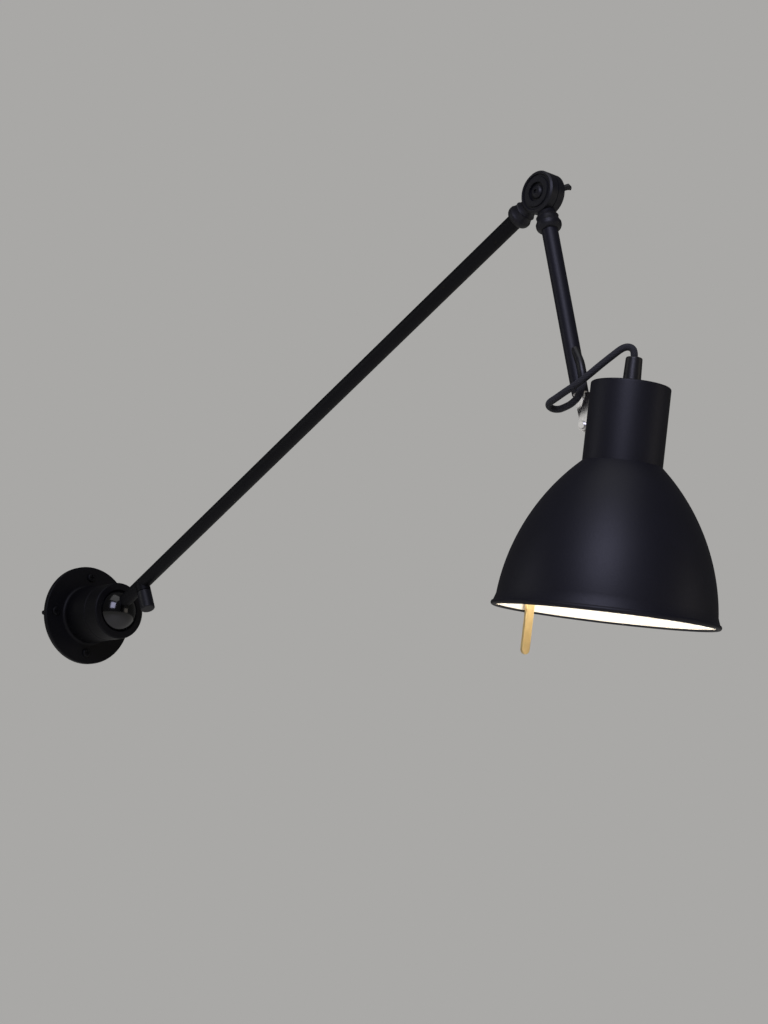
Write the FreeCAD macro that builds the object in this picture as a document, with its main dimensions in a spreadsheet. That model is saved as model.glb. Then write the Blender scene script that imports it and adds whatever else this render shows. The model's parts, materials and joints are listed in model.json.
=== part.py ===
import FreeCAD, Part
import Sketcher
import math
import os

# A swing arm wall lamp: a wall plate with a ball socket, a long arm, an elbow with a wing nut, a short arm
# and a tilting bell shade. Millimetres, +Z up. The wall is the plane y = 0 and the lamp stands out towards -Y.
# The origin is the centre
# of the wall plate's back face, where the four wall screws are centred.

SIZES = {
    # wall plate and hub
    "plate_radius": 53.0, "plate_thickness": 5.0, "plate_edge": 1.2,
    "hub_radius": 30.0, "hub_length": 39.0, "hub_wall": 2.5, "hub_floor": 3.0, "hub_fillet": 3.5,
    "screw_circle_radius": 41.3, "screw_radius": 2.45, "screw_head_radius": 4.6, "screw_head_height": 2.4,
    "screw_reach": 25.0, "screw_waist": 0.2, "screw_slot": 1.2, "grommet_bore": 4.5, "grommet_radius": 8.0,
    # ball joint
    "ball_radius": 23.5, "ball_depth": 10.4, "ring_length": 22.0, "mouth_radius": 22.6, "lip_height": 9.6,
    "shoe_thickness": 3.5, "shoe_reach": 15.0, "cup_thickness": 7.0, "spring_height": 3.6,
    # arm clamp
    "knob_radius": 7.5, "knob_place": 57.0, "knob_drop": 31.0, "knob_gap": 0.3, "knob_corner": 1.5,
    "boss_drop": 10.0, "clamp_screw_radius": 2.5, "clamp_bite": 12.0,
    # arms
    "long_arm_length": 700.0, "long_arm_rise": 26.0, "short_arm_length": 219.0, "short_arm_lean": 14.5,
    "tube_radius": 7.0, "tube_wall": 1.2, "stud_radius": 5.0,
    # elbow
    "knuckle_radius": 18.5, "knuckle_thickness": 17.5, "washer_thickness": 0.6, "neck_radius": 7.5,
    "collar_radius": 11.0, "collar_start": 28.0, "collar_length": 8.0, "collar_curve": 5.5,
    "socket_depth": 6.0,
    "neck_swell": 1.5, "swell_curve": 14.0, "bead_setback": 4.4, "bolt_radius": 3.0,
    "bolt_head_radius": 6.0, "bolt_head_height": 3.2, "recess_radius": 8.6, "recess_depth": 2.2,
    "wing_reach": 16.0, "wing_thickness": 3.0, "wing_height": 12.0, "wing_turn": 45.0, "nut_radius": 6.5,
    "nut_height": 6.0, "spring_washer_thickness": 1.2,
    # cord outlet on the short arm
    "cord_radius": 2.9, "outlet_start": 152.0, "outlet_end": 177.0, "outlet_side": 26.0, "outlet_wall": 0.6,
    "ferrule_length": 4.0, "ferrule_wall": 0.5, "cord_grip": 3.0,
    # tilt joint
    "rod_thickness": 6.0, "rod_width": 7.6, "rod_start": 29.0, "rod_eye_radius": 5.0, "pin_radius": 2.0,
    "cheek_thickness": 1.8, "cheek_top": 27.0, "cheek_back": 1.6, "pad_thickness": 1.0, "web_width": 16.0,
    "web_bottom": 8.0, "rivet_radius": 1.5,
    # shade
    "shade_lean": 7.5, "shade_offset": 43.8, "shade_rise": 31.6,
    "neck_outer_radius": 31.9, "neck_length": 63.7, "shade_wall": 1.2, "neck_corner": 1.6,
    "bell_radius": 87.4, "bell_height": 119.0, "bell_curve_radius": 172.0, "bead_radius": 1.8,
    # lampholder and bulb
    "holder_radius": 19.5, "holder_top": 10.0, "holder_skirt": 9.0, "holder_bore": 13.6, "holder_depth": 36.0,
    "ring_width": 5.0,
    "ring_height": 5.0, "bulb_radius": 30.0, "bulb_length": 108.0, "bulb_cap_radius": 13.0,
    "bulb_cap_length": 25.0,
    "bulb_shoulder": 40.0, "bulb_flare": 46.0, "bulb_wall": 1.0,
    # cord grommet and pull handle
    "gland_base_radius": 7.4, "gland_top_radius": 6.7, "gland_height": 22.5, "gland_spigot": 2.0,
    "handle_width": 9.0, "handle_thickness": 2.0, "handle_drop": 35.0, "handle_grip": 24.0,
    "handle_turn": 1.6,
    # clearances
    "running_gap": 0.05, "socket_gap": 0.3, "fit_gap": 0.1,
}

# The free cord's route in the row's frame, between the ferrule on the short arm and the gland on the shade: it drops past
# the tilt joint, folds back tightly on the arm's -X side, crosses in front of the arm and arches over into the gland.
CORD_ROUTE = [
    (-8.9, -741.9, 123.9), (-10.4, -740.0, 116.9), (-11.2, -733.0, 112.2), (-11.7, -725.6, 110.4),
    (-12.1, -720.2, 109.6), (-15.7, -716.6, 109.9), (-20.4, -716.6, 111.4), (-23.4, -720.0, 113.2),
    (-23.8, -727.2, 115.2), (-22.7, -736.6, 119.4), (-20.9, -747.2, 123.9), (-18.2, -757.0, 129.9),
    (-14.0, -766.0, 137.6), (-8.6, -775.0, 145.6), (-4.6, -782.6, 151.7), (-1.7, -788.0, 151.5)]

doc = FreeCAD.newDocument("wall_lamp")
sheet = doc.addObject("Spreadsheet::Sheet", "sizes")
for row, (alias, number) in enumerate(SIZES.items(), start=1):
    sheet.set("A%d" % row, alias)
    sheet.set("B%d" % row, str(number))
    sheet.setAlias("B%d" % row, alias)
doc.recompute()


class Size:
    """A length that knows its value and the expression over the sheet's cells that gives it."""

    def __init__(self, value, text):
        self.value = value
        self.text = text

    def join(self, other, sign, value, swap=False):
        other = as_size(other)
        first, second = (other.text, self.text) if swap else (self.text, other.text)
        return Size(value, "(%s %s %s)" % (first, sign, second))

    def __add__(self, other):
        return self.join(other, "+", self.value + as_size(other).value)

    def __radd__(self, other):
        return self + other

    def __sub__(self, other):
        return self.join(other, "-", self.value - as_size(other).value)

    def __rsub__(self, other):
        return self.join(other, "-", as_size(other).value - self.value, swap=True)

    def __mul__(self, other):
        return self.join(other, "*", self.value * as_size(other).value)

    def __rmul__(self, other):
        return self * other

    def __truediv__(self, other):
        return self.join(other, "/", self.value / as_size(other).value)

    def __neg__(self):
        return Size(-self.value, "(0 - %s)" % self.text)


def as_size(number):
    if isinstance(number, Size):
        return number
    return Size(float(number), "%.9g" % number if number >= 0 else "(0 - %.9g)" % -number)


def root(square):
    return Size(math.sqrt(square.value), "sqrt(%s)" % square.text)


def sine(angle):
    return Size(math.sin(math.radians(angle.value)), "sin(%s * 1 deg)" % angle.text)


def cosine(angle):
    return Size(math.cos(math.radians(angle.value)), "cos(%s * 1 deg)" % angle.text)


def bind(item, name, size):
    item.setExpression(name, as_size(size).text)


cell = {alias: Size(float(sheet.get(alias)), "sizes.%s" % alias) for alias in SIZES}
finished = []


# --- frames ---------------------------------------------------------------------------------------

def turned_frame(origin, tilt):
    """A frame at origin whose own Z axis is the row's Z axis turned by tilt degrees about X."""
    return FreeCAD.Placement(FreeCAD.Vector(*origin), FreeCAD.Rotation(FreeCAD.Vector(1, 0, 0), tilt))


def shifted(frame, x=0.0, y=0.0, z=0.0, axis=None, angle=0.0):
    turn = FreeCAD.Rotation(FreeCAD.Vector(*axis), angle) if axis else FreeCAD.Rotation()
    return frame.multiply(FreeCAD.Placement(FreeCAD.Vector(x, y, z), turn))


def number(name):
    return cell[name].value


hub_front = cell["plate_thickness"] + cell["hub_length"]
mouth = hub_front + cell["ring_length"]
ball_height = mouth - cell["ball_depth"]
inner_radius = cell["hub_radius"] - cell["hub_wall"]

WALL = turned_frame((0, 0, 0), 90)
BALL = shifted(WALL, z=ball_height.value)
LONG_ARM = turned_frame(BALL.Base, 90 - number("long_arm_rise"))
elbow_point = LONG_ARM.multVec(FreeCAD.Vector(0, 0, number("long_arm_length")))
ELBOW_BACK = turned_frame(elbow_point, 270 - number("long_arm_rise"))
SHORT_ARM = turned_frame(elbow_point, 180 - number("short_arm_lean"))
tilt_point = SHORT_ARM.multVec(FreeCAD.Vector(0, 0, number("short_arm_length")))
HEAD = turned_frame(tilt_point, number("shade_lean"))
SHADE = shifted(HEAD, y=-number("shade_offset"), z=number("shade_rise"))
OUTLET = shifted(SHORT_ARM, axis=(0, 0, 1), angle=number("outlet_side"))
CLAMP = shifted(shifted(LONG_ARM, z=number("knob_place")), axis=(1, 0, 0), angle=90)


# --- sketch and feature helpers -------------------------------------------------------------------

def new_body(label, frame):
    body = doc.addObject("PartDesign::Body", label)
    body.Label = label
    body.Placement = frame
    finished.append(body)
    return body


def new_sketch(body, plane, lift=0.0):
    sketch = body.newObject("Sketcher::SketchObject", "%s_sketch" % body.Name)
    face = [item for item in body.Origin.OriginFeatures if item.Role == plane][0]
    sketch.AttachmentSupport = [(face, "")]
    sketch.MapMode = "FlatFace"
    bind(sketch, "AttachmentOffset.Base.z", lift)
    return sketch


def pin_point(sketch, geometry, position, point):
    """Ties a sketch point to the sheet, across and up from the sketch's origin."""
    for kind, size in zip(("DistanceX", "DistanceY"), point):
        size = as_size(size)
        index = sketch.addConstraint(Sketcher.Constraint(kind, -1, 1, geometry, position, size.value))
        bind(sketch, "Constraints[%d]" % index, size)


def add_outline(sketch, corners):
    """A closed outline of corners (x, y), or (x, y, radius) where an arc arrives, with its centre to the left if positive."""
    edges = []
    for corner, before in zip(corners, [corners[-1]] + corners[:-1]):
        start = FreeCAD.Vector(as_size(before[0]).value, as_size(before[1]).value, 0)
        end = FreeCAD.Vector(as_size(corner[0]).value, as_size(corner[1]).value, 0)
        if len(corner) == 2:
            edges.append((sketch.addGeometry(Part.LineSegment(start, end)), 1, 2))
            continue
        radius = as_size(corner[2])
        along = end - start
        left = FreeCAD.Vector(-along.y, along.x, 0).normalize()
        side = 1 if radius.value > 0 else -1
        rise = math.sqrt(max(radius.value ** 2 - (along.Length / 2) ** 2, 0))
        centre = start + along * 0.5 + left * (side * rise)
        first, last = (start, end) if side > 0 else (end, start)
        angles = [math.atan2(point.y - centre.y, point.x - centre.x) for point in (first, last)]
        circle = Part.Circle(centre, FreeCAD.Vector(0, 0, 1), abs(radius.value))
        arc = sketch.addGeometry(Part.ArcOfCircle(circle, angles[0], angles[1]))
        edges.append((arc, 1, 2) if side > 0 else (arc, 2, 1))
        index = sketch.addConstraint(Sketcher.Constraint("Radius", arc, abs(radius.value)))
        bind(sketch, "Constraints[%d]" % index, radius if side > 0 else -radius)
    for corner, edge, following in zip(corners, edges, edges[1:] + edges[:1]):
        sketch.addConstraint(Sketcher.Constraint("Coincident", edge[0], edge[2], following[0], following[1]))
        pin_point(sketch, edge[0], edge[2], corner[:2])


def add_circle(sketch, centre, radius):
    radius = as_size(radius)
    point = FreeCAD.Vector(as_size(centre[0]).value, as_size(centre[1]).value, 0)
    circle = sketch.addGeometry(Part.Circle(point, FreeCAD.Vector(0, 0, 1), radius.value))
    index = sketch.addConstraint(Sketcher.Constraint("Radius", circle, radius.value))
    bind(sketch, "Constraints[%d]" % index, radius)
    pin_point(sketch, circle, 3, centre)


def revolve(body, outline, about="V_Axis", plane="XZ_Plane"):
    sketch = new_sketch(body, plane)
    add_outline(sketch, outline)
    feature = body.newObject("PartDesign::Revolution", "%s_turning" % body.Name)
    feature.Profile = sketch
    feature.ReferenceAxis = (sketch, [about])
    feature.Angle = 360
    doc.recompute()
    return feature


def extrude(body, kind, plane, lift, length, outline=None, circles=(), back=False, middle=False):
    """A pad or pocket of one outline and any circles, from the plane lifted along its own normal."""
    sketch = new_sketch(body, plane, lift)
    if outline:
        add_outline(sketch, outline)
    for centre, radius in circles:
        add_circle(sketch, centre, radius)
    feature = body.newObject("PartDesign::%s" % kind, "%s_%s" % (body.Name, kind.lower()))
    feature.Profile = sketch
    feature.Midplane = middle
    feature.Reversed = back
    bind(feature, "Length", length)
    before = 0.0 if kind == "Pad" else feature.BaseFeature.Shape.Volume
    doc.recompute()
    if kind == "Pocket" and feature.Shape.Volume > before - 0.01:
        raise ValueError("%s cuts nothing" % feature.Name)
    return feature


def turned(label, frame, outline):
    body = new_body(label, frame)
    revolve(body, outline)
    return body


def ring(label, frame, inner, outer, bottom, top):
    return turned(label, frame, [(inner, bottom), (outer, bottom), (outer, top), (inner, top)])


def group(label, shapes, frame):
    """Identical fasteners as one node of separate solids."""
    item = doc.addObject("Part::Feature", label)
    item.Label = label
    item.Shape = Part.makeCompound(shapes)
    item.Placement = frame
    finished.append(item)
    return item


# --- wall plate and hub ---------------------------------------------------------------------------

def corners_on_circle(radius, count):
    for index in range(count):
        angle = as_size(360.0 * index / count)
        yield (radius * cosine(angle), radius * sine(angle))


def make_wall_plate():
    edge = cell["plate_edge"]
    thick = cell["plate_thickness"]
    radius = cell["plate_radius"]
    bore = cell["grommet_radius"]
    plate = turned("wall_plate", WALL, [
        (bore, 0), (radius, 0), (radius, thick - edge), (radius - edge, thick, edge), (bore, thick)])
    hole = cell["screw_radius"] + cell["fit_gap"] * 2
    holes = [(centre, hole) for centre in corners_on_circle(cell["screw_circle_radius"], 4)]
    extrude(plate, "Pocket", "XY_Plane", 0, thick + 1, circles=holes, back=True)


def make_plate_screws():
    """Each screw has a plain waist in the plate's hole, and its full thread starts at the wall."""
    plate = number("plate_thickness")
    head = number("screw_head_height")
    slot = number("screw_slot")
    reach = number("screw_head_radius") - 2.0
    shapes = []
    for index in range(4):
        angle = math.radians(90.0 * index)
        spot = FreeCAD.Vector(math.cos(angle), math.sin(angle), 0) * number("screw_circle_radius")
        into_wall = number("screw_reach") - plate
        thread = Part.makeCylinder(number("screw_radius"), into_wall, spot - FreeCAD.Vector(0, 0, into_wall))
        waist = Part.makeCylinder(number("screw_radius") - number("screw_waist"), plate, spot)
        cap = Part.makeCylinder(number("screw_head_radius"), head, spot + FreeCAD.Vector(0, 0, plate))
        cap = cap.makeFillet(head * 0.6, [cap.Edges[0]])
        screw = thread.fuse(waist).fuse(cap)
        for half_x, half_y in ((slot / 2, reach), (reach, slot / 2)):
            corner = spot + FreeCAD.Vector(-half_x, -half_y, plate + head * 0.4)
            screw = screw.cut(Part.makeBox(half_x * 2, half_y * 2, head, corner))
        shapes.append(screw.removeSplitter())
    group("plate_screws", shapes, WALL)


def make_hub():
    low = cell["plate_thickness"]
    floor = low + cell["hub_floor"]
    ledge = ball_height - cell["ball_radius"] - cell["shoe_thickness"] - cell["cup_thickness"] - cell["spring_height"]
    fillet = cell["hub_fillet"]
    radius = cell["hub_radius"]
    narrow = inner_radius - 4
    turned("hub_housing", WALL, [
        (cell["grommet_radius"] - 2, low), (radius + fillet, low), (radius, low + fillet, -fillet),
        (radius, hub_front - 0.6), (radius - 0.6, hub_front), (inner_radius, hub_front), (inner_radius, ledge),
        (narrow, ledge), (narrow, floor), (cell["grommet_radius"] - 2, floor)])


def make_ball_seat():
    """The screwed front ring: its lip and spherical seat hold the ball, and its mouth flares for the arm to swing."""
    radius = cell["hub_radius"]
    seat = cell["ball_radius"] + cell["socket_gap"]
    lip = cell["lip_height"]
    lip_radius = root(seat * seat - lip * lip)
    start = ball_height - 5.6
    turned("retaining_ring", WALL, [
        (inner_radius, hub_front), (radius - 0.6, hub_front), (radius, hub_front + 0.6), (radius, mouth - 2.0),
        (radius - 2.0, mouth, 2.0), (cell["mouth_radius"], mouth), (lip_radius, ball_height + lip),
        (seat, ball_height, -seat), (seat, start), (inner_radius, start)])


def make_pressure_parts():
    """Behind the ball, from the front: a loose shoe, the cup that presses it and a disc spring on the hub's ledge."""
    near = cell["ball_radius"] + cell["socket_gap"]
    far = cell["ball_radius"] + cell["shoe_thickness"]
    cable = cell["grommet_bore"] + 1
    reach = cell["shoe_reach"]
    turned("friction_shoe", BALL, [
        (cable, -root(far * far - cable * cable)), (reach, -root(far * far - reach * reach), far),
        (reach, -root(near * near - reach * reach)), (cable, -root(near * near - cable * cable), -near)])
    hollow = far + cell["socket_gap"]
    rim = inner_radius - cell["socket_gap"]
    base = -(far + cell["cup_thickness"])
    edge = base + 10.0
    inside = root(hollow * hollow - edge * edge)
    turned("pressure_cup", BALL, [
        (cable, base), (rim, base), (rim, edge), (inside, edge), (cable, -root(hollow * hollow - cable * cable), -hollow)])
    low = base - cell["spring_height"]
    turned("disc_spring", BALL, [
        (rim - 8, low + 2.4), (rim, low), (rim, low + 1.2), (rim - 8, base)])


def make_clamp():
    """Under the arm's foot: a boss on the tube, and a knob whose screw grips the ball's stud inside it."""
    tube = number("tube_radius")
    screw = cell["clamp_screw_radius"]
    radius = cell["knob_radius"]
    boss = Part.makeCylinder(radius.value, number("boss_drop"))
    across = FreeCAD.Vector(0, 1, 0)
    boss = boss.cut(Part.makeCylinder(tube, 4 * tube, across * (-2 * tube), across))
    boss = boss.cut(Part.makeCylinder(screw.value + number("running_gap"), number("boss_drop")))
    group("clamp_boss", boss.Solids, CLAMP)
    face = cell["boss_drop"] + cell["knob_gap"]
    bite = face + cell["clamp_bite"]
    tip = cell["stud_radius"] + cell["fit_gap"]
    turned("clamp_screw", CLAMP, [(0, tip), (screw - 0.5, tip), (screw, tip + 0.5), (screw, bite), (0, bite)])
    end = cell["knob_drop"]
    corner = cell["knob_corner"]
    turned("clamp_knob", CLAMP, [
        (screw, face), (radius - 0.6, face), (radius, face + 0.6), (radius, end - corner),
        (radius - corner, end, corner), (0, end), (0, bite), (screw, bite)])


def make_supply_parts():
    """What the hub holds behind the ball joint: the cable grommet, a terminal block and the earth screw."""
    low = cell["plate_thickness"]
    bore = cell["grommet_bore"]
    hole = cell["grommet_radius"]
    turned("cable_grommet", WALL, [
        (bore, 0), (hole, 0), (hole, low), (hole - 2, low), (hole - 2, low + cell["hub_floor"]),
        (hole, low + cell["hub_floor"]), (hole, low + cell["hub_floor"] + 1.2), (bore, low + cell["hub_floor"] + 1.2)])
    floor = low + cell["hub_floor"]
    block = new_body("terminal_block", shifted(WALL, y=13.0))
    extrude(block, "Pad", "XY_Plane", floor, 8.0, outline=[(-9, -4), (9, -4), (9, 4), (-9, 4)])
    extrude(block, "Pocket", "XY_Plane", floor + 8.0, 3.0, circles=[((step, 0), 1.9) for step in (-5.6, 0, 5.6)])
    turned("earth_screw", shifted(WALL, y=-13.0, z=floor.value), [
        (0, 0), (2.0, 0), (2.0, 3.0), (3.4, 3.0), (3.4, 4.2), (2.4, 5.2), (0, 5.2)])


# --- arms and elbow -------------------------------------------------------------------------------

def make_long_arm():
    ball = cell["ball_radius"]
    stud = cell["stud_radius"]
    tube = cell["tube_radius"]
    seat = ball - 4
    turned("base_ball", LONG_ARM, [
        (3.0, -root(ball * ball - 9)), (tube, root(ball * ball - tube * tube), ball), (tube, seat),
        (stud, seat), (stud, 2.0), (3.0, 2.0)])
    ring("ball_stud", LONG_ARM, 3.0, stud, 2.0, cell["knob_place"] + 10)
    end = cell["long_arm_length"] - cell["collar_start"] - cell["collar_length"] + cell["socket_depth"]
    long_tube = ring("long_arm_tube", LONG_ARM, tube - cell["tube_wall"], tube, seat, end)
    hole = cell["clamp_screw_radius"] + cell["running_gap"]
    extrude(long_tube, "Pocket", "XZ_Plane", 0, tube + 2, circles=[((0, cell["knob_place"]), hole)], back=True)


def knuckle_neck(label, frame):
    """The turned neck and collar of an elbow half, about Z from the pivot, with the socket that takes the tube."""
    neck = cell["neck_radius"]
    collar = cell["collar_radius"]
    start = cell["collar_start"]
    end = start + cell["collar_length"]
    swell = neck + cell["neck_swell"]
    bead = start - cell["bead_setback"]
    body = new_body(label, frame)
    revolve(body, [
        (3.0, 8), (neck, 8), (neck, bead - 7.4), (swell, bead - 1.2, -cell["swell_curve"]), (swell + 0.7, bead - 0.6),
        (swell, bead), (collar, start + 1.5, -cell["swell_curve"]), (collar, end - 4.5),
        (cell["tube_radius"] + 0.8, end, cell["collar_curve"]), (cell["tube_radius"], end),
        (cell["tube_radius"], end - cell["socket_depth"]), (3.0, end - cell["socket_depth"])])
    return body


def make_elbow():
    half_gap = cell["washer_thickness"] / 2 + cell["running_gap"]
    depth = cell["knuckle_thickness"] / 2
    disc = cell["knuckle_radius"]
    clear = disc + 0.8
    bolt = cell["bolt_radius"] + cell["running_gap"]
    recess = cell["recess_radius"]
    sunk = cell["recess_depth"]

    front = knuckle_neck("long_arm_knuckle", ELBOW_BACK)
    extrude(front, "Pocket", "YZ_Plane", -half_gap, 20, circles=[((0, 0), clear)], back=True)
    revolve(front, about="H_Axis", plane="XY_Plane", outline=[
        (-half_gap, bolt), (-half_gap, disc), (-(depth - 1.4), disc), (-depth, disc - 1.4, -1.4),
        (-depth, disc - 2.9), (-(depth - 1.2), disc - 3.3), (-(depth - 1.2), disc - 5.0), (-depth, disc - 5.4),
        (-depth, recess), (-(depth - sunk), recess), (-(depth - sunk), bolt)][::-1])

    rear = knuckle_neck("short_arm_knuckle", SHORT_ARM)
    extrude(rear, "Pocket", "YZ_Plane", half_gap, 20, circles=[((0, 0), clear)])
    revolve(rear, about="H_Axis", plane="XY_Plane", outline=[
        (half_gap, bolt), (half_gap, disc), (depth - 1.4, disc), (depth, disc - 1.4, 1.4), (depth, bolt)])

    across = shifted(ELBOW_BACK, axis=(0, 1, 0), angle=90)
    half = cell["washer_thickness"] / 2
    ring("friction_washer", across, bolt, disc - 2, -half, half)
    head = cell["bolt_head_radius"]
    seat = -(depth - sunk)
    top = seat - cell["bolt_head_height"]
    nut_face = depth + cell["spring_washer_thickness"] + cell["running_gap"]
    body = turned("elbow_bolt", across, [
        (0, top), (head * 0.45, top), (head, seat - 0.8, 4.2), (head, seat), (cell["bolt_radius"], seat),
        (cell["bolt_radius"], nut_face + cell["nut_height"] + 3), (0, nut_face + cell["nut_height"] + 3)])
    extrude(body, "Pocket", "XY_Plane", top + 1.4, 3, outline=hexagon(2.0))
    ring("spring_washer", shifted(SHORT_ARM, axis=(0, 1, 0), angle=90), bolt, 6.5, depth,
         depth + cell["spring_washer_thickness"])
    make_wing_nut(nut_face, bolt)


def hexagon(radius):
    return list(corners_on_circle(as_size(radius), 6))


def make_wing_nut(face, bore):
    frame = shifted(turned_frame(elbow_point, 0), axis=(0, 1, 0), angle=90)
    frame = shifted(frame, axis=(0, 0, 1), angle=number("wing_turn"))
    top = face + cell["nut_height"]
    reach = cell["wing_reach"]
    radius = cell["nut_radius"]
    nut = turned("wing_nut", frame, [
        (bore, face), (radius, face), (radius, face + 1.5), (radius - 1.5, top), (bore, top)])
    wing_top = face + 2 + cell["wing_height"]
    for side in (1, -1):
        extrude(nut, "Pad", "XZ_Plane", 0, cell["wing_thickness"], middle=True, outline=[
            (radius * 0.7 * side, face + 1.0), (reach * 0.7 * side, face + 3.2), (reach * side, wing_top - 4.0),
            ((reach - 4.0) * side, wing_top, 4.0 * side), (radius * 0.75 * side, top - 0.4, -9.0 * side)])


def make_short_arm():
    tube = cell["tube_radius"]
    wall = cell["tube_wall"]
    start = cell["collar_start"] + cell["collar_length"] - cell["socket_depth"]
    end = cell["short_arm_length"] - cell["rod_start"]
    ring("short_arm_tube", SHORT_ARM, tube - wall, tube, start, end)
    make_tilt_rod(end)
    make_outlet()


def make_tilt_rod(end):
    """The flat bar in the tube's end, with the eye that the tilt pin passes through."""
    width = cell["rod_width"]
    eye = cell["rod_eye_radius"]
    pivot = cell["short_arm_length"]
    body = new_body("tilt_rod", SHORT_ARM)
    revolve(body, [(0, end - 12), (cell["tube_radius"] - cell["tube_wall"], end - 12),
                   (cell["tube_radius"] - cell["tube_wall"], end), (0, end)])
    outline = [(width / 2, pivot), (width / 2, end), (-width / 2, end), (-width / 2, pivot)][::-1]
    extrude(body, "Pad", "YZ_Plane", 0, cell["rod_thickness"], outline=outline, middle=True)
    extrude(body, "Pad", "YZ_Plane", 0, cell["rod_thickness"], circles=[((0, pivot), eye)], middle=True)
    hole = cell["pin_radius"] + cell["running_gap"]
    extrude(body, "Pocket", "YZ_Plane", 0, cell["rod_thickness"] + 2, circles=[((0, pivot), hole)], middle=True)


def make_outlet():
    """A moulded spout on the arm's side: it leaves the tube at a slant and ends in a short metal ferrule."""
    cord = cell["cord_radius"]
    outer = cord + cell["outlet_wall"]
    off = outlet_offset()
    low = number("outlet_start")
    high = number("outlet_end")
    bend = low + (high - low) * 0.6
    route = [FreeCAD.Vector(0, number("tube_radius") - 2.0, low), FreeCAD.Vector(0, off, bend),
             FreeCAD.Vector(0, off, high)]
    spout = tube_along(route, outer.value).cut(Part.makeCylinder(number("tube_radius"), 400))
    bore = Part.makeCylinder(cord.value + number("fit_gap"), high - bend + 1, FreeCAD.Vector(0, off, bend + 1))
    group("cord_outlet", [spout.cut(bore)], OUTLET)
    ring("cord_ferrule", shifted(OUTLET, y=off), cord + cell["fit_gap"], outer + cell["ferrule_wall"],
         cell["outlet_end"], cell["outlet_end"] + cell["ferrule_length"])


def outlet_offset():
    return number("tube_radius") + number("cord_radius") + number("outlet_wall") + number("ferrule_wall") + 0.3


# --- paths ----------------------------------------------------------------------------------------

def path_edges(points):
    """Straight runs joined by tangent arcs, each as large as 0.45 of its shorter run allows, and the arcs' radii."""
    edges = []
    radii = []
    here = points[0]
    for before, corner, after in zip(points, points[1:], points[2:]):
        back = (before - corner).normalize()
        ahead = (after - corner).normalize()
        half_turn = (math.pi - back.getAngle(ahead)) / 2
        cut = 0.45 * min((before - corner).Length, (after - corner).Length)
        radii.append(cut / math.tan(half_turn))
        start = corner + back * cut
        end = corner + ahead * cut
        centre = corner + (back + ahead).normalize() * (cut / math.sin(half_turn) if half_turn else 0)
        middle = centre + (corner - centre).normalize() * radii[-1]
        edges.append(Part.LineSegment(here, start).toShape())
        edges.append(Part.Arc(start, middle, end).toShape())
        here = end
    edges.append(Part.LineSegment(here, points[-1]).toShape())
    return edges, radii


def tube_along(points, radius):
    spine = Part.Wire(path_edges(points)[0])
    profile = Part.Wire([Part.makeCircle(radius, points[0], points[1] - points[0])])
    return spine.makePipeShell([profile], True, False)


# --- head -----------------------------------------------------------------------------------------

def make_tilt_bracket():
    """A folded bracket: two cheeks on the pin and a web against the neck, over a thin black pad."""
    gap = cell["rod_thickness"] / 2 + cell["fit_gap"] * 2
    thick = cell["cheek_thickness"]
    pad = cell["pad_thickness"]
    neck = cell["shade_offset"] - cell["neck_outer_radius"]
    web = -(neck - pad)
    top = cell["cheek_top"]
    back = cell["cheek_back"]
    eye = cell["rod_eye_radius"] - 0.6
    body = new_body("tilt_bracket", HEAD)
    cheek = [(back, top), (web, top), (web, cell["web_bottom"]), (-eye, 0), (0, -eye, eye), (eye, 0, eye),
             (back + 2.4, 4.0)]
    extrude(body, "Pad", "YZ_Plane", 0, (gap + thick) * 2, outline=cheek, middle=True)
    hollow = [(back + 9, top + 1), (web + thick, top + 1), (web + thick, -eye - 2), (back + 9, -eye - 2)]
    extrude(body, "Pocket", "YZ_Plane", 0, gap * 2, outline=hollow, middle=True)
    flange = [(-(cell["web_width"] / 2), web), (cell["web_width"] / 2, web),
              (cell["web_width"] / 2, web + thick), (-(cell["web_width"] / 2), web + thick)]
    extrude(body, "Pad", "XY_Plane", cell["web_bottom"], top - cell["web_bottom"], outline=flange)
    hole = cell["pin_radius"] + cell["running_gap"]
    extrude(body, "Pocket", "YZ_Plane", 0, (gap + thick) * 2 + 2, circles=[((0, 0), hole)], middle=True)
    holes = [((0, height), cell["rivet_radius"] + cell["fit_gap"]) for height in rivet_heights()]
    extrude(body, "Pocket", "XZ_Plane", 0, neck + 5, circles=holes, back=True)
    side = cell["web_width"] / 2
    strip = new_body("bracket_pad", HEAD)
    outer = cell["neck_outer_radius"]
    sag = outer - root(outer * outer - side * side)
    extrude(strip, "Pad", "XY_Plane", cell["web_bottom"] - 14, top - cell["web_bottom"] + 14, outline=[
        (side, web), (-side, web), (-side, web - pad - sag), (side, web - pad - sag, -outer)])
    extrude(strip, "Pocket", "XZ_Plane", 0, neck + 5, circles=holes, back=True)
    make_bracket_rivets(web.value, gap.value)
    reach = gap + thick
    turned("tilt_pin", shifted(HEAD, axis=(0, 1, 0), angle=90), [
        (0, -(reach + 1.2)), (3.0, -(reach + 1.2)), (3.4, -(reach + 0.8)), (3.4, -reach), (cell["pin_radius"], -reach),
        (cell["pin_radius"], reach), (3.4, reach), (3.4, reach + 0.8), (3.0, reach + 1.2), (0, reach + 1.2)])


def rivet_heights():
    middle = (cell["cheek_top"] + cell["web_bottom"]) / 2
    return (middle - 5, middle + 5)


def make_bracket_rivets(web, gap):
    radius = number("rivet_radius")
    depth = number("cheek_thickness") + number("pad_thickness") + number("shade_wall") + 1.2
    shapes = []
    for height in rivet_heights():
        start = FreeCAD.Vector(0, web + number("cheek_thickness") + 0.8, height.value)
        shank = Part.makeCylinder(radius, depth + 0.8, start, FreeCAD.Vector(0, -1, 0))
        head = Part.makeCylinder(radius + 0.9, 0.8, start, FreeCAD.Vector(0, -1, 0))
        shapes.append(shank.fuse(head).removeSplitter())
    group("bracket_rivets", shapes, HEAD)


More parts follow.
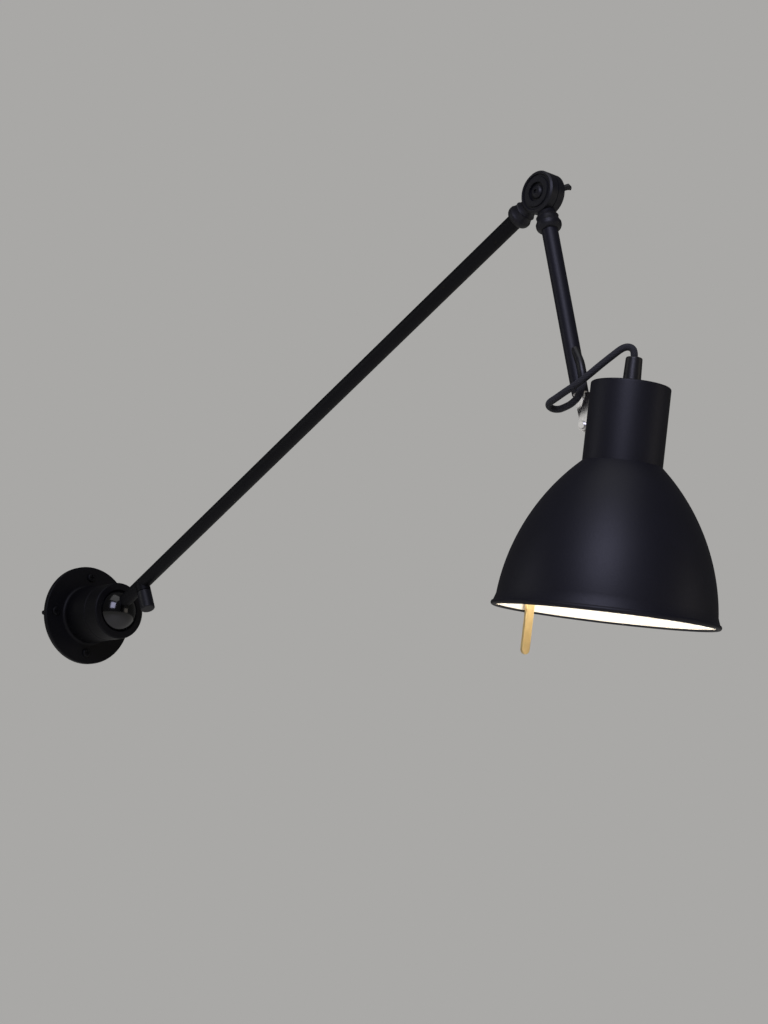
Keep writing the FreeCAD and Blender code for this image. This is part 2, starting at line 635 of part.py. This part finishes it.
def make_shade():
    outer = cell["neck_outer_radius"]
    wall = cell["shade_wall"]
    corner = cell["neck_corner"]
    length = cell["neck_length"]
    gland = cell["gland_base_radius"] - 2
    neck = turned("shade_neck", SHADE, [
        (gland, 0), (gland, -wall), (outer - corner, -wall), (outer - wall, -corner, -(corner - wall)),
        (outer - wall, -length), (outer, -length), (outer, -corner), (outer - corner, 0, corner)])
    holes = [((0, height - cell["shade_rise"]), cell["rivet_radius"] + cell["fit_gap"]) for height in rivet_heights()]
    extrude(neck, "Pocket", "XZ_Plane", 0, outer + 5, circles=holes)
    top = -length
    low = top - cell["bell_height"]
    rim = cell["bell_radius"]
    curve = cell["bell_curve_radius"]
    bead = cell["bead_radius"]
    hole = cell["holder_radius"] - 2 + cell["fit_gap"]
    bell = turned("shade_bell", shifted(SHADE, axis=(0, 0, 1), angle=number("handle_turn")), [
        (hole, top), (hole, top - wall), (outer - wall, top - wall), (rim - wall, low, -(curve - wall)),
        (rim - wall, low - bead), (rim - wall + bead * 2, low - bead, bead), (rim, low - bead + 0.9, bead),
        (rim, low), (outer, top, curve)])
    holes = [((0, height), cell["rivet_radius"] + cell["fit_gap"]) for height in handle_rivet_heights(low)]
    extrude(bell, "Pocket", "XZ_Plane", 0, rim + 5, circles=holes)
    return top, low


def handle_rivet_heights(low):
    top = low + cell["handle_grip"]
    return (top - 5.0, top - 12.0)


def make_lampholder(top):
    """Hangs from the neck's top, passes through the bell's flange and is held there by a screwed ring."""
    radius = cell["holder_radius"]
    wall = cell["shade_wall"]
    skirt = radius - 2
    bore = cell["holder_bore"]
    start = -cell["holder_top"]
    low = top - wall - cell["holder_skirt"]
    floor = low + cell["holder_depth"]
    collar = cell["gland_base_radius"] - 2 + cell["fit_gap"]
    seat = -(wall + cell["gland_spigot"] + cell["fit_gap"])
    turned("lampholder", SHADE, [
        (0, floor), (bore, floor), (bore, low), (skirt, low), (skirt, top), (radius, top), (radius, start - 3),
        (radius - 3, start), (collar + 3, start), (collar + 3, -wall), (collar, -wall), (collar, seat), (0, seat)])
    ring("shade_ring", SHADE, skirt + cell["fit_gap"], skirt + cell["ring_width"],
         top - wall - cell["ring_height"], top - wall)
    make_bulb(floor - 1.0, low - 1.0)


def make_bulb(start, clear):
    cap = cell["bulb_cap_radius"]
    length = cell["bulb_cap_length"]
    radius = cell["bulb_radius"]
    foot = start - length
    turned("bulb_cap", SHADE, [
        (0, start), (4.5, start), (cap - 1.5, start - 4), (cap, start - 5), (cap, foot), (0, foot)])
    end = start - cell["bulb_length"]
    centre = end + radius
    across = cosine(cell["bulb_shoulder"])
    up = sine(cell["bulb_shoulder"])
    wall = cell["bulb_wall"]
    flare = cell["bulb_flare"]
    bore = radius - wall
    throat = cap - 0.2
    turned("bulb_glass", SHADE, [
        (throat - wall, foot), (throat, foot), (throat, clear), (radius * across, centre + radius * up, flare),
        (0, end, -radius), (0, end + wall), (bore * across, centre + bore * up, bore),
        (throat - wall, clear, -(flare + wall))])


def make_gland():
    """The moulded cord gland on the neck's top."""
    base = cell["gland_base_radius"]
    top = cell["gland_height"]
    small = cell["gland_top_radius"]
    bore = cell["cord_radius"] + cell["fit_gap"]
    turned("cord_gland", SHADE, [
        (bore, -cell["shade_wall"] - cell["gland_spigot"]), (base - 2, -cell["shade_wall"] - cell["gland_spigot"]),
        (base - 2, 0), (base, 0),
        (small, top - 1.5), (small - 1.5, top, 1.5), (bore, top)])


def make_cord():
    """The free cord, from inside the ferrule to inside the gland."""
    radius = number("cord_radius")
    off = outlet_offset()
    grip = number("cord_grip")
    lead = 0.6 * grip
    ferrule_end = number("outlet_end") + number("ferrule_length")
    points = [OUTLET.multVec(FreeCAD.Vector(0, off, ferrule_end - grip)),
              OUTLET.multVec(FreeCAD.Vector(0, off, ferrule_end + lead))]
    points += [FreeCAD.Vector(*point) for point in CORD_ROUTE]
    points += [SHADE.multVec(FreeCAD.Vector(0, 0, number("gland_height") + 1.5 * grip)),
               SHADE.multVec(FreeCAD.Vector(0, 0, number("gland_height") - grip))]
    edges, radii = path_edges(points)
    length = sum(edge.Length for edge in edges)
    cord = tube_along(points, radius)
    group("head_cord", [cord], FreeCAD.Placement())
    print("cord radii", " ".join("%.1f" % radius for radius in radii), "length %.1f" % length)
    print("cord volume over section times length %.4f" % (cord.Volume / (math.pi * radius * radius * length)))


def make_handle(low):
    """A flat strip inside the bell's wall, hanging below the rim."""
    turn = shifted(SHADE, axis=(0, 0, 1), angle=number("handle_turn"))
    thick = cell["handle_thickness"]
    width = cell["handle_width"]
    inner = cell["bell_radius"] - cell["shade_wall"] - 3.2
    top = low + cell["handle_grip"]
    end = low - cell["bead_radius"] - cell["handle_drop"]
    half = width / 2
    body = new_body("pull_handle", turn)
    extrude(body, "Pad", "XZ_Plane", -inner, thick, outline=[
        (half, end + half, half), (half, top - 1.0), (half - 1.0, top, 1.0), (-half + 1.0, top), (-half, top - 1.0, 1.0),
        (-half, end + half), (0, end, half)])
    holes = [((0, height), cell["rivet_radius"] + cell["fit_gap"]) for height in handle_rivet_heights(low)]
    extrude(body, "Pocket", "XZ_Plane", 0, inner + 5, circles=holes)
    make_handle_rivets(turn, inner.value, low)


def make_handle_rivets(turn, inner, low):
    shapes = []
    for height in handle_rivet_heights(low):
        start = FreeCAD.Vector(0, inner - number("handle_thickness") - 0.7, height.value)
        reach = wall_radius(height.value) + 0.8 - start.y
        shank = Part.makeCylinder(number("rivet_radius"), reach, start, FreeCAD.Vector(0, 1, 0))
        head = Part.makeCylinder(number("rivet_radius") + 0.8, 0.7, start, FreeCAD.Vector(0, 1, 0))
        shapes.append(shank.fuse(head).removeSplitter())
    group("handle_rivets", shapes, turn)


def wall_radius(height):
    """The bell's outer radius at a height below the neck's top, on the arc that its outline has."""
    start = FreeCAD.Vector(number("neck_outer_radius"), -number("neck_length"), 0)
    end = FreeCAD.Vector(number("bell_radius"), start.y - number("bell_height"), 0)
    along = end - start
    rise = math.sqrt(number("bell_curve_radius") ** 2 - (along.Length / 2) ** 2)
    inward = FreeCAD.Vector(along.y, -along.x, 0).normalize()
    centre = start + along * 0.5 + inward * rise
    return centre.x + math.sqrt(number("bell_curve_radius") ** 2 - (height - centre.y) ** 2)


make_wall_plate()
make_plate_screws()
make_hub()
make_ball_seat()
make_pressure_parts()
make_clamp()
make_supply_parts()
make_long_arm()
make_elbow()
make_short_arm()
make_tilt_bracket()
bell_top, bell_low = make_shade()
make_lampholder(bell_top)
make_gland()
make_handle(bell_low)
make_cord()

doc.recompute()
for item in doc.Objects:
    if "Invalid" in item.State or "Error" in item.State:
        raise ValueError("%s failed" % item.Name)
os.makedirs("parts", exist_ok=True)
for item in finished:
    shape = item.Shape
    if shape.isNull() or not shape.isValid() or not shape.Solids:
        raise ValueError("%s has no valid solid" % item.Label)
    shape.exportStep("parts/%s.step" % item.Label)
    print("%-20s %d solid(s) %.1f mm3" % (item.Label, len(shape.Solids), shape.Volume))
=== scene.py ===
import json
import math
import bpy
import numpy as np
from mathutils import Matrix, Vector


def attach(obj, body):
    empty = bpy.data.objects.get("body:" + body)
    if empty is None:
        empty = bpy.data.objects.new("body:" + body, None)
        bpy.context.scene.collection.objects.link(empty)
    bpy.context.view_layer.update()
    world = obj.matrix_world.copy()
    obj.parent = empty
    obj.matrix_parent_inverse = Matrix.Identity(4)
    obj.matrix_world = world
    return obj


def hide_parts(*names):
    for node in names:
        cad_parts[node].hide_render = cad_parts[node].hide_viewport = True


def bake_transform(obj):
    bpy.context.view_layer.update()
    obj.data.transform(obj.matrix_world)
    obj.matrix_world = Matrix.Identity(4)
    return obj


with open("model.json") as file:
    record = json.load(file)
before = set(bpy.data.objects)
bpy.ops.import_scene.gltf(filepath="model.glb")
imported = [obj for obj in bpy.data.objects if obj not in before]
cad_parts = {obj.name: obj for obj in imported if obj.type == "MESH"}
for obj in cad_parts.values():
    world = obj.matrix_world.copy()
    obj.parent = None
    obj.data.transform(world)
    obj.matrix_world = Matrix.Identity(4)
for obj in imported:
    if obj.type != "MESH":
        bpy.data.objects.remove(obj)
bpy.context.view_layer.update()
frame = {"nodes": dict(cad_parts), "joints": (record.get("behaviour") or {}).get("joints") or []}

# A swing arm wall lamp: black powder coated steel arms and shade, a gloss ball in a cup on the wall,
# a nickel bracket, a brass pull and a braided flex. Metres, +Z up, the wall is the plane y = 0 and the
# lamp stands out towards -Y.

MM = 0.001
JOINTS = {joint["name"]: joint for joint in frame["joints"]}


# --- camera ---------------------------------------------------------------------------------------

CAMERA_PLACE = Vector((-1.0796, -1.7505, -0.2694))
CAMERA_HEADING, CAMERA_PITCH, CAMERA_ROLL = -40.64, -11.06, 2.15
LENS = 65.84


def make_camera():
    """Below and to the side of the lamp, turned by the heading round +Z from looking along +Y."""
    heading, pitch, roll = (math.radians(a) for a in (CAMERA_HEADING, CAMERA_PITCH, CAMERA_ROLL))
    level = math.cos(pitch)
    back = Vector((math.sin(heading) * level, -math.cos(heading) * level, math.sin(pitch)))
    right = Vector((math.cos(heading), math.sin(heading), 0))
    up = back.cross(right)
    across = right * math.cos(roll) + up * math.sin(roll)
    upright = up * math.cos(roll) - right * math.sin(roll)
    data = bpy.data.cameras.new("camera")
    data.lens = LENS
    camera = bpy.data.objects.new("camera", data)
    bpy.context.scene.collection.objects.link(camera)
    turn = Matrix((across, upright, back)).transposed().to_4x4()
    camera.matrix_world = Matrix.Translation(CAMERA_PLACE) @ turn
    bpy.context.scene.camera = camera


make_camera()


# --- frames of the lamp's parts -------------------------------------------------------------------

def tilted(origin, degrees):
    """A frame whose own Z is the row's Z turned by degrees about X."""
    return Matrix.Translation(Vector(origin)) @ Matrix.Rotation(math.radians(degrees), 4, "X")


def place(x=0.0, y=0.0, z=0.0):
    return Matrix.Translation(Vector((x, y, z)))


ELBOW = Vector(JOINTS["elbow_fold"]["pos_m"])
PIVOT = Vector(JOINTS["head_tilt"]["pos_m"])
SHADE_LEAN = 7.5
SHADE_OFFSET, SHADE_RISE = 43.8 * MM, 31.6 * MM
SHORT_ARM_LEAN = 14.5
HEAD_FRAME = tilted(PIVOT, SHADE_LEAN)
SHADE_FRAME = HEAD_FRAME @ place(y=-SHADE_OFFSET, z=SHADE_RISE)
SHORT_ARM_FRAME = tilted(ELBOW, 180 - SHORT_ARM_LEAN)


# --- finishes -------------------------------------------------------------------------------------

def linear(code):
    """An sRGB hex colour as linear RGBA."""
    values = [int(code[at:at + 2], 16) / 255 for at in (1, 3, 5)]
    return tuple(v / 12.92 if v <= 0.04045 else ((v + 0.055) / 1.055) ** 2.4 for v in values) + (1.0,)


def add_node(tree, kind, links=(), **settings):
    """One node: a setting sets the property of that name, or else the input; links are {input: output}."""
    node = tree.nodes.new("ShaderNode" + kind)
    for name, value in settings.items():
        if hasattr(node, name):
            setattr(node, name, value)
        else:
            node.inputs[name.replace("_", " ")].default_value = value
    for target, source in dict(links).items():
        tree.links.new(source, node.inputs[target])
    return node


def new_finish(name, colour, roughness, **shader):
    """A named material with one Principled shader, and its tree, shader and Object coordinates."""
    material = bpy.data.materials.new(name)
    material.use_nodes = True
    tree = material.node_tree
    shading = tree.nodes["Principled BSDF"]
    shading.inputs["Base Color"].default_value = linear(colour)
    shading.inputs["Roughness"].default_value = roughness
    for key, value in shader.items():
        shading.inputs[key.replace("_", " ")].default_value = value
    where = add_node(tree, "TexCoord").outputs["Object"]
    return material, tree, shading, where


def blotches(tree, where, size, detail=3.0, stretch=None):
    """Noise with features about size metres across, stretched by its scales if given."""
    if stretch:
        where = add_node(tree, "Mapping", {"Vector": where}, Scale=stretch).outputs["Vector"]
    return add_node(tree, "TexNoise", {"Vector": where}, Scale=1.0 / size, Detail=detail).outputs["Fac"]


def between(tree, fac, low, high):
    """A factor from 0 to 1 as a number from low to high."""
    return add_node(tree, "MapRange", {"Value": fac}, To_Min=low, To_Max=high).outputs["Result"]


def shade_of(tree, fac, dark, light):
    """A colour from dark to light by a factor."""
    mix = tree.nodes.new("ShaderNodeMix")
    mix.data_type = "RGBA"
    mix.inputs["A"].default_value = linear(dark)
    mix.inputs["B"].default_value = linear(light)
    tree.links.new(fac, mix.inputs["Factor"])
    return mix.outputs["Result"]


def relief(tree, shading, height, depth, strength=1.0):
    """Bump by a height from 0 to 1 that stands for depth metres."""
    bump = add_node(tree, "Bump", {"Height": height}, Distance=depth, Strength=strength)
    tree.links.new(bump.outputs["Normal"], shading.inputs["Normal"])


def powder_coat(name, dark, light, roughness, grain=1.4 * MM, shine=0.3):
    """Fine-texture powder coat: a dusty sheen with no sharp reflection, over a slight orange peel."""
    material, tree, shading, where = new_finish(name, light, roughness, Specular_IOR_Level=shine)
    tone = blotches(tree, where, 30 * MM)
    tree.links.new(shade_of(tree, tone, dark, light), shading.inputs["Base Color"])
    peel = blotches(tree, where, grain, 2.0)
    tree.links.new(between(tree, peel, roughness - 0.05, roughness + 0.06), shading.inputs["Roughness"])
    relief(tree, shading, peel, 0.05 * MM)
    return material


def gloss_enamel(name, colour):
    """Baked gloss enamel on the ball: a wet, mirror-like coat with the faintest waviness."""
    material, tree, shading, where = new_finish(name, colour, 0.13, Coat_Weight=0.35, Coat_Roughness=0.04)
    wave = blotches(tree, where, 9 * MM, 1.0)
    relief(tree, shading, wave, 0.05 * MM, 0.6)
    dust = blotches(tree, where, 2.5 * MM)
    tree.links.new(between(tree, dust, 0.1, 0.2), shading.inputs["Roughness"])
    return material


def worked_metal(name, dark, light, roughness, lines=None, depth=0.0015 * MM):
    """Plated or solid metal with fine polishing lines along the axis that lines stretches them on."""
    material, tree, shading, where = new_finish(name, light, roughness, Metallic=1.0)
    scratch = blotches(tree, where, 0.7 * MM, 4.0, lines or (1.0, 1.0, 0.06))
    tone = blotches(tree, where, 12 * MM)
    tree.links.new(shade_of(tree, tone, dark, light), shading.inputs["Base Color"])
    tree.links.new(between(tree, scratch, roughness - 0.07, roughness + 0.1), shading.inputs["Roughness"])
    relief(tree, shading, scratch, depth)
    return material


def moulded(name, dark, light, roughness, grain=0.9 * MM, **shader):
    """Moulded plastic, rubber or porcelain: an even colour with a fine mould grain."""
    material, tree, shading, where = new_finish(name, light, roughness, **shader)
    tree.links.new(shade_of(tree, blotches(tree, where, 8 * MM), dark, light), shading.inputs["Base Color"])
    fine = blotches(tree, where, grain, 2.0)
    tree.links.new(between(tree, fine, roughness - 0.06, roughness + 0.06), shading.inputs["Roughness"])
    relief(tree, shading, fine, 0.03 * MM)
    return material


def opal_glass():
    """Opal glass of the lit bulb: white, faintly warm, its glow a little warmer or whiter in soft random
    clouds.
    """
    material, tree, shading, where = new_finish("opal_glass", "#f6efe0", 0.18, Emission_Strength=LAMP_GLOW)
    cloud = blotches(tree, where, 25 * MM)
    tree.links.new(shade_of(tree, cloud, "#fff1dc", "#fff8ee"), shading.inputs["Emission Color"])
    return material


LAMP_GLOW = 9.0

black_coat = powder_coat("black_powder_coat", "#131319", "#191920", 0.48)
black_casting = powder_coat("black_coated_casting", "#131316", "#1b1b1f", 0.44, 2.2 * MM)
# Painted shade: a darker, less shiny copy of the black powder coat for the long arm and the wall end, which
# have the same paint as the other black parts.
shaded_black_coat = powder_coat("black_powder_coat_painted_shade", "#08080a", "#0d0d10", 0.5, shine=0.16)
white_lining = powder_coat("white_enamel_lining", "#ece9e2", "#f7f5f0", 0.35)
gloss_black = gloss_enamel("gloss_black_enamel", "#040405")
nickel = worked_metal("polished_nickel_plate", "#cfccc9", "#e8e6e3", 0.26)
brass = worked_metal("brushed_brass", "#d9bd84", "#ead3a2", 0.45)
steel = worked_metal("zinc_plated_steel", "#7f8082", "#a5a6a8", 0.32)
phenolic = moulded("black_phenolic", "#141414", "#1d1d1e", 0.4)
rubber = moulded("black_rubber", "#151516", "#1f1f20", 0.62)
nylon = moulded("natural_nylon", "#d6d2c4", "#e8e5da", 0.45)
porcelain = moulded("glazed_porcelain", "#e4e2da", "#f2f0ea", 0.12)
opal = opal_glass()

NODE_FINISHES = {
    black_coat: ["short_arm_tube", "shade_neck", "shade_bell"],
    shaded_black_coat: ["long_arm_tube", "wall_plate", "hub_housing", "retaining_ring", "clamp_boss",
                "plate_screws"],
    black_casting: ["long_arm_knuckle", "short_arm_knuckle", "elbow_bolt", "wing_nut", "clamp_knob",
                    "cord_ferrule"],
    gloss_black: ["base_ball"],
    nickel: ["tilt_bracket", "tilt_pin", "tilt_rod", "bulb_cap", "bracket_rivets"],
    brass: ["pull_handle", "handle_rivets", "earth_screw"],
    steel: ["disc_spring", "pressure_cup", "ball_stud", "spring_washer", "clamp_screw"],
    phenolic: ["cord_outlet", "cord_gland"],
    rubber: ["cable_grommet", "bracket_pad"],
    nylon: ["friction_shoe", "friction_washer", "terminal_block"],
    porcelain: ["lampholder", "shade_ring"],
    opal: ["bulb_glass"],
}


def dress_nodes():
    for material, names in NODE_FINISHES.items():
        for name in names:
            mesh = frame["nodes"][name].data
            mesh.materials.clear()
            mesh.materials.append(material)


dress_nodes()


# --- the free cord --------------------------------------------------------------------------------

CORD_DIAMETER = 5.8 * MM
OUTLET_SIDE, OUTLET_OFFSET = 26, 11.3 * MM
OUTLET_REACH, GLAND_REACH = (178, 182.8), (27, 19.5)
CORD_ROUTE = [
    (-8.9, -741.9, 123.9), (-10.4, -740.0, 116.9), (-11.2, -733.0, 112.2), (-11.7, -725.6, 110.4),
    (-12.1, -720.2, 109.6), (-15.7, -716.6, 109.9), (-20.4, -716.6, 111.4), (-23.4, -720.0, 113.2),
    (-23.8, -727.2, 115.2), (-22.7, -736.6, 119.4), (-20.9, -747.2, 123.9), (-18.2, -757.0, 129.9),
    (-14.0, -766.0, 137.6), (-8.6, -775.0, 145.6), (-4.6, -782.6, 151.7), (-1.7, -788.0, 151.5)]


def grid_mesh(name, points, loop_u=True, loop_v=False, uv=None, cap=False):
    """A mesh of one quad for each cell of a grid of points: rows along v, columns round u."""
    rows, columns = points.shape[:2]
    index = np.arange(rows * columns).reshape(rows, columns)
    if loop_u:
        index = np.concatenate([index, index[:, :1]], 1)
    if loop_v:
        index = np.concatenate([index, index[:1]], 0)
    faces = np.stack([index[:-1, :-1], index[:-1, 1:], index[1:, 1:], index[1:, :-1]], -1).reshape(-1, 4)
    ends = [list(index[0, :columns])[::-1], list(index[-1, :columns])] if cap else []
    mesh = bpy.data.meshes.new(name)
    mesh.from_pydata(points.reshape(-1, 3), [], faces.tolist() + ends)
    if uv is not None:
        corner = np.stack([uv[:-1, :-1], uv[:-1, 1:], uv[1:, 1:], uv[1:, :-1]], 2).reshape(-1, 2)
        layer = mesh.uv_layers.new(name="weave")
        spare = len(mesh.loops) - len(corner)
        corners = np.concatenate([corner, np.zeros((spare, 2))])
        layer.data.foreach_set("uv", corners.astype(np.float32).ravel())
    mesh.polygons.foreach_set("use_smooth", np.ones(len(mesh.polygons), bool))
    mesh.update()
    return mesh


def new_piece(name, mesh, material, frame_matrix=None):
    if frame_matrix is not None:
        mesh.transform(frame_matrix)
    piece = bpy.data.objects.new(name, mesh)
    bpy.context.scene.collection.objects.link(piece)
    for finish in material if isinstance(material, (list, tuple)) else [material]:
        mesh.materials.append(finish)
    return piece


def cord_points():
    """Points along the route's NURBS spline, read from a bare curve."""
    outlet = SHORT_ARM_FRAME @ Matrix.Rotation(math.radians(OUTLET_SIDE), 4, "Z")
    route = [outlet @ Vector((0, OUTLET_OFFSET, z * MM)) for z in OUTLET_REACH]
    route += [Vector(point) * MM for point in CORD_ROUTE]
    route += [SHADE_FRAME @ Vector((0, 0, z * MM)) for z in GLAND_REACH]
    curve = bpy.data.curves.new("flex_line", "CURVE")
    curve.dimensions = "3D"
    curve.resolution_u = 14
    spline = curve.splines.new("NURBS")
    spline.points.add(len(route) - 1)
    spline.points.foreach_set("co", np.array([[*point, 1.0] for point in route]).ravel())
    spline.order_u = 3
    spline.use_endpoint_u = True
    line = bpy.data.objects.new("flex_line", curve)
    mesh = bpy.data.meshes.new_from_object(line)
    points = np.array([vertex.co for vertex in mesh.vertices], float)
    bpy.data.objects.remove(line)
    bpy.data.meshes.remove(mesh)
    return points


def frames_along(points):
    """Unit vectors across a path at each point, turned as little as possible from one point to the next."""
    tangent = np.gradient(points, axis=0)
    tangent /= np.linalg.norm(tangent, axis=1)[:, None]
    side = [np.cross(tangent[0], (1.0, 0.0, 0.0))]
    for along in tangent:
        across = side[-1] - along * (side[-1] @ along)
        side.append(across / np.linalg.norm(across))
    side = np.array(side[1:])
    return side, np.cross(tangent, side)


def braided_flex():
    """Black textile braid: two sets of yarns crossing at 45 degrees, matt with a soft fibrous sheen; its
    colour follows the yarn height, darker in the valleys between the yarns as painted shade and lighter on
    their crests as painted highlight.
    """
    material, tree, shading, where = new_finish("black_textile_braid", "#1a1a1d", 0.72, Sheen_Weight=0.5,
                                                Sheen_Roughness=0.45)
    shading.inputs["Sheen Tint"].default_value = linear("#6a6a72")
    uv = add_node(tree, "TexCoord").outputs["UV"]
    heights = []
    for turn in (45, -45):
        slant = (0, 0, math.radians(turn))
        turned = add_node(tree, "Mapping", {"Vector": uv}, Rotation=slant).outputs["Vector"]
        heights.append(add_node(tree, "TexWave", {"Vector": turned}, Scale=YARN_SCALE,
                                wave_profile="SIN").outputs["Fac"])
    yarn = add_node(tree, "Math", {0: heights[0], 1: heights[1]}, operation="MAXIMUM").outputs["Value"]
    # Painted shade and painted highlight: darker in the valleys between the yarns, lighter on their crests.
    tree.links.new(shade_of(tree, yarn, "#0b0b0d", "#26262b"), shading.inputs["Base Color"])
    relief(tree, shading, yarn, 0.35 * MM, 0.8)
    return material


YARN_SCALE = 12 / 6.2832 * 2.2
CORD_SIDES = 28


def make_cord():
    """The flex as a tube: rings of 28 points carried along the spline, with its UVs in turns round it."""
    points = cord_points()
    side, across = frames_along(points)
    angle = np.linspace(0, 2 * math.pi, CORD_SIDES + 1)
    cos, sin = np.cos(angle)[None, :, None], np.sin(angle)[None, :, None]
    circle = cos * side[:, None, :] + sin * across[:, None, :]
    rings = points[:, None, :] + circle * CORD_DIAMETER / 2
    steps = np.linalg.norm(np.diff(points, axis=0), axis=1)
    along = np.concatenate([[0.0], np.cumsum(steps)])
    u = np.broadcast_to(angle / (2 * math.pi), rings.shape[:2])
    v = np.broadcast_to((along / (math.pi * CORD_DIAMETER))[:, None], rings.shape[:2])
    mesh = grid_mesh("flex", rings[:, :-1], uv=np.stack([u, v], -1), cap=True)
    flex = new_piece("flex", mesh, braided_flex())
    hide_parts("head_cord")
    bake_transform(flex)
    return flex


make_cord()


# --- the shade ------------------------------------------------------------------------------------

NECK_RADIUS, NECK_LENGTH, NECK_CORNER = 31.9, 63.7, 1.6
BELL_RADIUS, BELL_HEIGHT, BELL_CURVE = 87.4, 119.0, 172.0
SHEET = 1.2
BEAD, BEAD_DROP = 2.1, 0.6
FLANGE_HOLE = 17.6
GLAND_HOLE = 5.4


def arc(start, end, radius, count=40):
    """Points of the arc centre + radius * (cos t, sin t), its centre to the left if radius is positive."""
    start, end = np.array(start, float), np.array(end, float)
    chord = end - start
    half = np.hypot(*chord) / 2
    left = np.array((-chord[1], chord[0])) / (2 * half)
    centre = (start + end) / 2 + left * math.copysign(math.sqrt(radius ** 2 - half ** 2), radius)
    first, last = (math.atan2(*(point - centre)[::-1]) for point in (start, end))
    turn = (last - first + math.pi) % (2 * math.pi) - math.pi
    angle = first + turn * np.linspace(0, 1, count)
    return centre + abs(radius) * np.stack([np.cos(angle), np.sin(angle)], -1)


def lathe(name, outline, frame_matrix, finishes, lined=(), sides=200):
    """A closed outline turned round Z, (r cos a, r sin a, z); the lined rows take the second finish."""
    angle = np.linspace(0, 2 * math.pi, sides, endpoint=False)
    r, z = outline[:, :1], outline[:, 1:]
    points = np.stack([r * np.cos(angle), r * np.sin(angle), z + 0 * angle], -1) * MM
    mesh = grid_mesh(name, points, loop_v=True)
    piece = new_piece(name, mesh, finishes, frame_matrix)
    tone = np.zeros((len(outline), sides), np.int32)
    tone[list(lined)] = 1
    mesh.polygons.foreach_set("material_index", tone.ravel())
    mesh.set_sharp_from_angle(angle=math.radians(38))
    return piece


def stand_for(piece, node, body):
    """The piece is shown for a CAD node and moves with its body."""
    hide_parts(node)
    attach(piece, body)


def make_neck():
    inside = NECK_RADIUS - SHEET
    outline = np.array([
        (GLAND_HOLE, 0), (GLAND_HOLE, -SHEET), (NECK_RADIUS - NECK_CORNER, -SHEET), (inside, -NECK_CORNER),
        (inside, -NECK_LENGTH), (NECK_RADIUS, -NECK_LENGTH)])
    corner = arc((NECK_RADIUS, -NECK_CORNER), (NECK_RADIUS - NECK_CORNER, 0), NECK_CORNER, 9)
    neck = lathe("neck_skin", np.concatenate([outline, corner]), SHADE_FRAME, [black_coat])
    stand_for(neck, "shade_neck", "head")


def make_bell():
    """The spun bell: a 172 mm arc outside, its lining 1.2 mm inside it, and the edge rolled round a wire."""
    top = -NECK_LENGTH
    low = top - BELL_HEIGHT
    inner = arc((NECK_RADIUS - SHEET, top - SHEET), (BELL_RADIUS - SHEET, low), -(BELL_CURVE - SHEET))
    outer = arc((BELL_RADIUS, low), (NECK_RADIUS, top), BELL_CURVE)[2:]
    turn = np.linspace(math.pi, 2.42 * math.pi, 22)
    centre = np.array((BELL_RADIUS - SHEET + BEAD, low - BEAD_DROP))
    roll = centre + BEAD * np.stack([np.cos(turn), np.sin(turn)], -1)
    flange = np.array([(FLANGE_HOLE, top), (FLANGE_HOLE, top - SHEET)])
    outline = np.concatenate([flange, inner, roll[1:], outer])
    bell = lathe("bell_skin", outline, SHADE_FRAME, [black_coat, white_lining], range(1, len(inner) + 2))
    stand_for(bell, "shade_bell", "head")


make_neck()
make_bell()


# --- stage ----------------------------------------------------------------------------------------

FLOOR_DROP = 1.5
FLOOR_RADIUS = 12.0
BACKGROUND = "#a9a8a6"
ROOM_LIGHT = 0.15


def add_light(name, place_at, aim, size, power, colour="#ffffff"):
    data = bpy.data.lights.new(name, "AREA")
    data.shape = "RECTANGLE"
    data.size, data.size_y = size
    data.energy = power
    data.color = linear(colour)[:3]
    light = bpy.data.objects.new(name, data)
    light.location = place_at
    light.rotation_mode = "QUATERNION"
    light.rotation_quaternion = (Vector(aim) - Vector(place_at)).to_track_quat("-Z", "Y")
    bpy.context.scene.collection.objects.link(light)


def make_stage():
    angle = np.linspace(0, 2 * math.pi, 96, endpoint=False)
    rim = np.stack([FLOOR_RADIUS * np.cos(angle), FLOOR_RADIUS * np.sin(angle), 0 * angle - FLOOR_DROP], -1)
    floor = bpy.data.meshes.new("floor")
    floor.from_pydata(rim, [], [list(range(len(rim)))])
    piece = new_piece("floor", floor, moulded("pale_floor", "#e4e2de", "#eceae6", 0.85, 40 * MM))
    world = bpy.data.worlds.new("studio")
    bpy.context.scene.world = world
    world.use_nodes = True
    sky = world.node_tree.nodes["Background"]
    sky.inputs["Color"].default_value = linear(BACKGROUND)
    seen = add_node(world.node_tree, "LightPath").outputs["Is Camera Ray"]
    world.node_tree.links.new(between(world.node_tree, seen, ROOM_LIGHT, 1.0), sky.inputs["Strength"])
    head = PIVOT + Vector((0, -0.05, -0.03))
    add_light("soft_key", (-1.7, -2.1, 1.3), head, (1.2, 1.6), 38, "#dcdcff")
    add_light("soft_top", (-0.4, -1.0, 2.2), head, (1.6, 1.6), 6)
    add_light("low_fill", (1.5, -2.5, 0.2), head, (1.0, 0.9), 2.2, "#fff4e6")
    add_light("floor_wash", (0, 0, -1.0), (0, 0, -2.0), (24.0, 24.0), 560)
    add_light("soft_side", (-1.5, 0.8, 0.45), head, (0.8, 1.1), 2.5)
    bpy.context.scene.view_settings.view_transform = "Standard"


make_stage()
